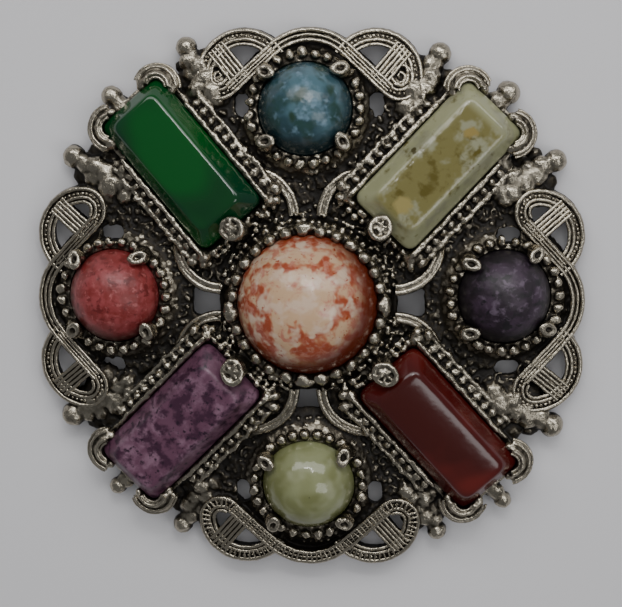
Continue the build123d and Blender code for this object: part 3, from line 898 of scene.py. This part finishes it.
# the stones' colours, sizes in millimetres; rim, painted shade at the edge: colour, where it starts and is
# full; table, painted light through the glass: colour, share
# shift: where the middle of its colours lies, mostly towards the lamps, so that side is painted lighter;
# pillow: how round the flat face is polished
# each patch lies over the ones before it, and those with the same seed and size lie inside one another
# patches: colour, size, noise values where it begins and is full, warp, gain in the middle (a lighter patch's
# gain is painted light), detail, seed
stoneGlass = {
    "centre_cabochon": {
        "name": "pressed_glass_cream_rust", "body": "#8d3f26", "rough": 0.2, "uneven": 0.25,
        "rim": ("#5a2112", 5.2, 7.2), "shift": (-0.9, 0.9),
        "patches": (
            ("#9f6145", 2.3, 0.47, 0.55, 0.25, 0.12, 2.5, 4),
            ("#b39576", 2.3, 0.52, 0.6, 0.25, 0.12, 2.5, 4),
            ("#a66d5a", 1.2, 0.5, 0.66, 0.4, -0.02, 4.0, 2),
            ("#baa28d", 1.6, 0.5, 0.68, 0.1, 0.05, 2.0, 3),
            ("#873a19", 0.9, 0.66, 0.7, 0.3, -0.06, 2.0, 4),
            ("#905042", 0.55, 0.6, 0.7, 0.3, -0.03, 3.0, 5),
        ),
    },
    "blue_cabochon": {
        "name": "pressed_glass_blue_moss", "body": "#263f47", "rough": 0.26, "uneven": 0.5,
        "rim": ("#122529", 2.9, 4.8), "shift": (0.2, 0.9),
        "patches": (
            ("#43606a", 3.0, 0.42, 0.66, 0.1, 0.06, 2.0, 0),
            ("#223d3a", 2.0, 0.48, 0.66, 0.2, 0.0, 2.0, 1),
            ("#20372b", 2.8, 0.5, 0.68, 0.2, -0.04, 2.0, 2),
            ("#5e7887", 1.2, 0.55, 0.78, 0.1, 0.08, 2.5, 3),
        ),
    },
    "purple_cabochon": {
        "name": "pressed_glass_aubergine", "body": "#1b101a", "rough": 0.5, "uneven": 0.6,
        "rim": ("#0c070c", 3.0, 4.7), "shift": (0.4, 0.2),
        "patches": (
            ("#342534", 1.8, 0.42, 0.66, 0.2, 0.04, 3.0, 0),
            ("#534654", 0.9, 0.54, 0.74, 0.4, 0.05, 3.0, 1),
            ("#120c13", 1.2, 0.52, 0.6, 0.3, 0.0, 3.0, 2),
        ),
    },
    "green_cabochon": {
        "name": "pressed_glass_celadon", "body": "#6a6d47", "rough": 0.11, "uneven": 0.35,
        "rim": ("#53552f", 3.6, 5.0), "shift": (0.2, 0.6),
        "patches": (
            ("#7d815f", 3.4, 0.38, 0.7, 0.0, 0.08, 1.0, 0),
            ("#646740", 2.2, 0.5, 0.78, 0.1, 0.0, 1.0, 1),
            ("#878a6d", 2.0, 0.52, 0.78, 0.0, 0.06, 1.0, 2),
            ("#383925", 0.45, 0.71, 0.75, 0.0, 0.0, 5.0, 3),
        ),
    },
    "coral_cabochon": {
        "name": "pressed_glass_coral", "body": "#6f2321", "rough": 0.4, "uneven": 0.5,
        "rim": ("#3e1311", 3.7, 5.0), "shift": (0.2, 0.5),
        "patches": (
            ("#843839", 1.6, 0.42, 0.64, 0.2, 0.04, 3.0, 0),
            ("#5a1616", 0.9, 0.5, 0.66, 0.3, 0.0, 3.0, 1),
            ("#914b4a", 0.5, 0.55, 0.7, 0.2, 0.0, 3.0, 2),
        ),
    },
    "emerald_bar": {
        "name": "cast_glass_emerald", "body": "#062b1d", "rough": 0.1, "uneven": 0.08,
        "table": ("#022f14", 0.9), "pillow": 0.012, "shift": (1.2, 0.2),
        # its big bright green middle, moved towards the lamps, is painted light: the glow of light through
        # the glass
        "patches": (("#034416", 7.0, 0.25, 0.72, 0.0, 0.5, 1.0, 0),),
    },
    "olive_bar": {
        "name": "cast_glass_sage_olive", "body": "#8a8b6b", "rough": 0.14, "uneven": 0.25,
        "table": ("#5f5727", 0.85), "pillow": 0.01, "shift": (0.0, 0.3),
        "patches": (
            ("#808067", 2.8, 0.5, 0.64, 0.1, -0.02, 3.0, 0),
            ("#4f471a", 1.6, 0.56, 0.76, 0.2, 0.1, 3.0, 1),
            ("#39351c", 0.5, 0.69, 0.74, 0.1, 0.0, 5.0, 2),
        ),
        "spots": ((4.75, 0.0, 0.75, "#80703f"), (-5.0, 0.0, 1.0, "#837849"), (-0.4, 2.9, 0.3, "#474229")),
    },
    "carnelian_bar": {
        "name": "cast_glass_carnelian", "body": "#420f0d", "rough": 0.17, "uneven": 0.1,
        "table": ("#360d08", 0.9), "pillow": 0.03, "shift": (0.0, 0.0),
        "patches": (
            ("#541712", 4.5, 0.5, 0.8, 0.1, 0.0, 1.0, 0),
            ("#180605", 0.4, 0.76, 0.8, 0.0, 0.0, 5.0, 1),
        ),
    },
    "mauve_bar": {
        "name": "cast_glass_mauve", "body": "#563547", "rough": 0.4, "uneven": 0.3,
        "pillow": 0.01, "shift": (0.0, 0.0),
        "patches": (
            ("#735465", 2.2, 0.48, 0.66, 0.1, 0.0, 4.0, 0),
            ("#35192c", 1.4, 0.48, 0.62, 0.1, 0.04, 8.0, 1),
            ("#220d1f", 0.6, 0.55, 0.66, 0.1, 0.0, 5.0, 2),
        ),
    },
}
# what all the stones share: how far their middle reaches, where a bar's flat face ends,
# how far one seed is from the next, the ragged edge of a spot, dents left by the polish
painting = {
    "reach": {"bar": 3.6, "centre": 7.0, "small": 4.7}, "core": 0.2, "barSquash": 0.55,
    "tableAlong": (6.0, 7.2), "tableAcross": (1.9, 2.9), "seedStep": (3.1, 7.7, 1.3),
    "raggedPerMm": 1.2, "raggedMean": 0.5, "spotEdge": (0.65, 1.05), "dentsPerMm": 0.65, "dentDepth": 0.3,
}


def stonePlace(tree, node):
    # coordinates in millimetres from the stone's middle, turned to its own length
    low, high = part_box(node)
    turn = barStones[node][2] if node in barStones else 0.0
    place = addNode(tree, "ShaderNodeTexCoord").outputs["Object"]
    return addNode(
        tree, "ShaderNodeMapping", {"vector_type": "TEXTURE"}, Vector=place,
        Location=[(a + b) / 2 for a, b in zip(low, high)], Rotation=(0, 0, math.radians(turn)),
        Scale=(1 / toMm,) * 3)


def tableShare(tree, place, share):
    # the share over a bar's flat face, nothing at its rounded edges
    apart = addNode(tree, "ShaderNodeVectorMath", "ABSOLUTE", i0=place)
    apart = addNode(tree, "ShaderNodeSeparateXYZ", Vector=apart)
    shares = []
    for axis, (start, end) in {"X": painting["tableAlong"], "Y": painting["tableAcross"]}.items():
        away = apart.outputs[axis]
        shares.append(addNode(
            tree, "ShaderNodeMapRange", smooth, Value=away, From_Min=start, From_Max=end, **fade))
    inside = addNode(tree, "ShaderNodeMath", "MULTIPLY", i0=shares[0], i1=shares[1])
    return addNode(tree, "ShaderNodeMath", "MULTIPLY", i0=inside, i1=share)


def paintedGlass(node):
    # glass with streaks stirred in before it was pressed or cast: opaque, patchy, fire-polished on top;
    # painted light and shade over that: lighter in the middle and towards the lamps, darker at the rim, and
    # on the bars light through the glass
    s, p = stoneGlass[node], painting
    kind = "bar" if node in barStones else "centre" if node == "centre_cabochon" else "small"
    material, tree, shader = newMaterial(s["name"])
    place = stonePlace(tree, node)
    shifted = addNode(tree, "ShaderNodeVectorMath", "SUBTRACT", i0=place, i1=(*s["shift"], 0))
    squash = p["barSquash"] if kind == "bar" else 1
    flat = addNode(tree, "ShaderNodeVectorMath", "MULTIPLY", i0=shifted, i1=(squash, 1, 0))
    out = addNode(tree, "ShaderNodeVectorMath", "LENGTH", i0=flat).outputs["Value"]
    reach = p["reach"][kind]
    # painted light: lighter patches with a gain gather in the middle, which the shift moves towards the lamps
    middle = addNode(
        tree, "ShaderNodeMapRange", smooth, Value=out, From_Min=p["core"] * reach, From_Max=reach, **fade)
    layers = []
    if "table" in s:
        # painted light through the glass: the flat face and the rounded edges are coloured as the light
        # passing through the glass shows them
        code, share = s["table"]
        layers.append((code, tableShare(tree, place, share)))
    for code, size, start, full, warp, gain, detail, seed in s["patches"]:
        away = [step * seed for step in p["seedStep"]]
        moved = addNode(tree, "ShaderNodeVectorMath", "ADD", i0=place, i1=away)
        cloud = addNode(
            tree, "ShaderNodeTexNoise", Vector=moved, Scale=1 / size, Detail=detail, Roughness=0.6,
            Distortion=warp)
        level = addNode(tree, "ShaderNodeMath", "MULTIPLY_ADD", i0=middle, i1=gain, i2=cloud)
        share = addNode(tree, "ShaderNodeMapRange", smooth, Value=level, From_Min=start, From_Max=full)
        layers.append((code, share))
    for x, y, size, code in s.get("spots", ()):
        ragged = addNode(tree, "ShaderNodeTexNoise", Vector=place, Scale=p["raggedPerMm"], Detail=3.0)
        wavy = addNode(tree, "ShaderNodeVectorMath", "ADD", i0=place, i1=ragged.outputs["Color"])
        level = addNode(tree, "ShaderNodeVectorMath", "MULTIPLY", i0=wavy, i1=(1, 1, 0))
        centre = (x + p["raggedMean"], y + p["raggedMean"], 0)
        near = addNode(tree, "ShaderNodeVectorMath", "DISTANCE", i0=level, i1=centre).outputs["Value"]
        start, end = (edge * size for edge in p["spotEdge"])
        share = addNode(tree, "ShaderNodeMapRange", Value=near, From_Min=start, From_Max=end, **fade)
        layers.append((code, share))
    # painted shade: the rim colour darkens the stone towards its edge, where the light falls off; on the
    # centre stone it is also the glass's own rust
    if "rim" in s:
        code, start, full = s["rim"]
        share = addNode(tree, "ShaderNodeMapRange", smooth, Value=out, From_Min=start, From_Max=full)
        layers.append((code, share))
    colour = fromHex(s["body"])
    for code, share in layers:
        mix = addNode(tree, "ShaderNodeMix", {"data_type": "RGBA"}, i0=share, i6=colour, i7=fromHex(code))
        colour = mix.outputs[2]
    # faint dents left by the polish, about 1.5 mm across
    dents = addNode(
        tree, "ShaderNodeTexNoise", Vector=place, Scale=p["dentsPerMm"], Detail=2.0, Roughness=0.5)
    bump = addNode(tree, "ShaderNodeBump", Height=dents, Strength=s["uneven"], Distance=p["dentDepth"] / toMm)
    if "pillow" in s:
        # the table is polished very slightly round, so its reflections spread and bend
        beside = addNode(tree, "ShaderNodeSeparateXYZ", Vector=place).outputs["Y"]
        arch = addNode(tree, "ShaderNodeMath", "MULTIPLY", i0=beside, i1=beside)
        bump = addNode(
            tree, "ShaderNodeBump", {"invert": True}, Height=arch, Strength=1.0, Distance=s["pillow"] / toMm,
            Normal=bump)
    tree.links.new(colour, shader.inputs["Base Color"])
    tree.links.new(bump.outputs[0], shader.inputs["Normal"])
    shader.inputs["Roughness"].default_value = s["rough"]
    shader.inputs["IOR"].default_value = 1.52
    return material


# the bar stones: the CAD solids' own shape with fire-polished edges, rounder where more passes soften it
barPolish = {
    "voxel": 0.15, "passes": {"olive_bar": 24, "emerald_bar": 24, "mauve_bar": 40, "carnelian_bar": 60},
}


def polishedBar(node):
    # laid square to the axes for the remesh, so that its flats and edges come out even
    plane = barPlane(node)
    stone = ownCopy(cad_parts[node], node + "_polished")
    stone.parent = None
    settled(stone, plane.inverted() @ Matrix.Scale(toMm, 4))
    closedUp(stone, cadWeld)
    addModifier(stone, "REMESH", mode="VOXEL", voxel_size=barPolish["voxel"])
    addModifier(stone, "SMOOTH", factor=0.5, iterations=barPolish["passes"][node])
    settled(stone, Matrix.Scale(1 / toMm, 4) @ plane)
    bpy.ops.object.shade_smooth()
    return stone


metal = pewter()
stoneLooks = {node: paintedGlass(node) for node in stoneGlass}
nodeMaterials = {"pin_fitting": steel(), **stoneLooks}
for node, material in nodeMaterials.items():
    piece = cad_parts[node]
    if node in barStones:
        piece = polishedBar(node)
        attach(piece, "root")
        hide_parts(node)
    piece.data.materials.clear()
    piece.data.materials.append(material)
for part in castParts:
    part.data.materials.clear()
    part.data.materials.append(metal)
    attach(part, "root")
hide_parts("frame")
print("stage: materials set")

# table, lights and camera, in metres
tableTop = {"size": 3.0, "z": -0.00002, "colour": "#c6c5c7", "rough": 0.7}
bpy.ops.mesh.primitive_plane_add(size=tableTop["size"], location=(0, 0, tableTop["z"]))
table = newest("table")
settled(table)
material, tree, shader = newMaterial("table_matt_white")
shader.inputs["Base Color"].default_value = fromHex(tableTop["colour"])
shader.inputs["Roughness"].default_value = tableTop["rough"]
table.data.materials.append(material)

lights = {
    "windowTop": {"place": (0.008, 0.165, 0.225), "size": (0.07, 0.016), "power": 0.06},
    "windowSide": {"place": (0.042, 0.14, 0.242), "size": (0.014, 0.075), "power": 0.06},
    "wall": {"place": (0.035, 0.3, 0.3), "size": (0.72, 0.18), "power": 1.4},
    "doorway": {"place": (0.26, -0.08, 0.38), "size": (0.14, 0.22), "power": 0.33},
    "ceiling": {"place": (0.0, 0.08, 0.6), "size": (0.5, 0.4), "power": 1.3},
}
for name, light in lights.items():
    bpy.ops.object.light_add(type="AREA", location=light["place"])
    lamp = newest(name)
    lamp.data.shape = "RECTANGLE"
    lamp.data.size, lamp.data.size_y = light["size"]
    lamp.data.energy = light["power"]
    lamp.rotation_euler = (Vector((0, 0, 0)) - lamp.location).to_track_quat("-Z", "Y").to_euler()
    lamp.visible_camera = False
    # the ceiling is too dim to show in the polish, it only lifts the shadows
    lamp.visible_glossy = name != "ceiling"

room = {"colour": "#d8dade", "strength": 0.26}
world = bpy.data.worlds.new("room")
bpy.context.scene.world = world
world.use_nodes = True
world.node_tree.nodes["Background"].inputs[0].default_value = fromHex(room["colour"])
world.node_tree.nodes["Background"].inputs[1].default_value = room["strength"]

# the picture's width and height, the focal length and the brooch's middle are in pixels
view = {
    "picture": (622, 607), "tiltX": 3.4, "tiltY": 8.0, "distance": 0.2, "focusPixels": 1980.0,
    "middle": (308.8, 301.0), "aim": (0, 0, 0.004), "sensor": 36.0, "nearest": 0.01,
}
away = Vector((math.tan(math.radians(view["tiltX"])), math.tan(math.radians(view["tiltY"])), 1)).normalized()
right = (-away).cross(Vector((0, 1, 0))).normalized()
bpy.ops.object.camera_add()
camera = newest("camera")
camera.matrix_world = Matrix((right, away.cross(right), away)).transposed().to_4x4()
camera.location = Vector(view["aim"]) + view["distance"] * away
wide, tall = view["picture"]
camera.data.sensor_width = view["sensor"]
camera.data.lens = view["focusPixels"] / wide * view["sensor"]
camera.data.shift_x = (wide / 2 - view["middle"][0]) / wide
camera.data.shift_y = (view["middle"][1] - tall / 2) / wide
camera.data.clip_start = view["nearest"]
bpy.context.scene.camera = camera
print("stage: camera set")
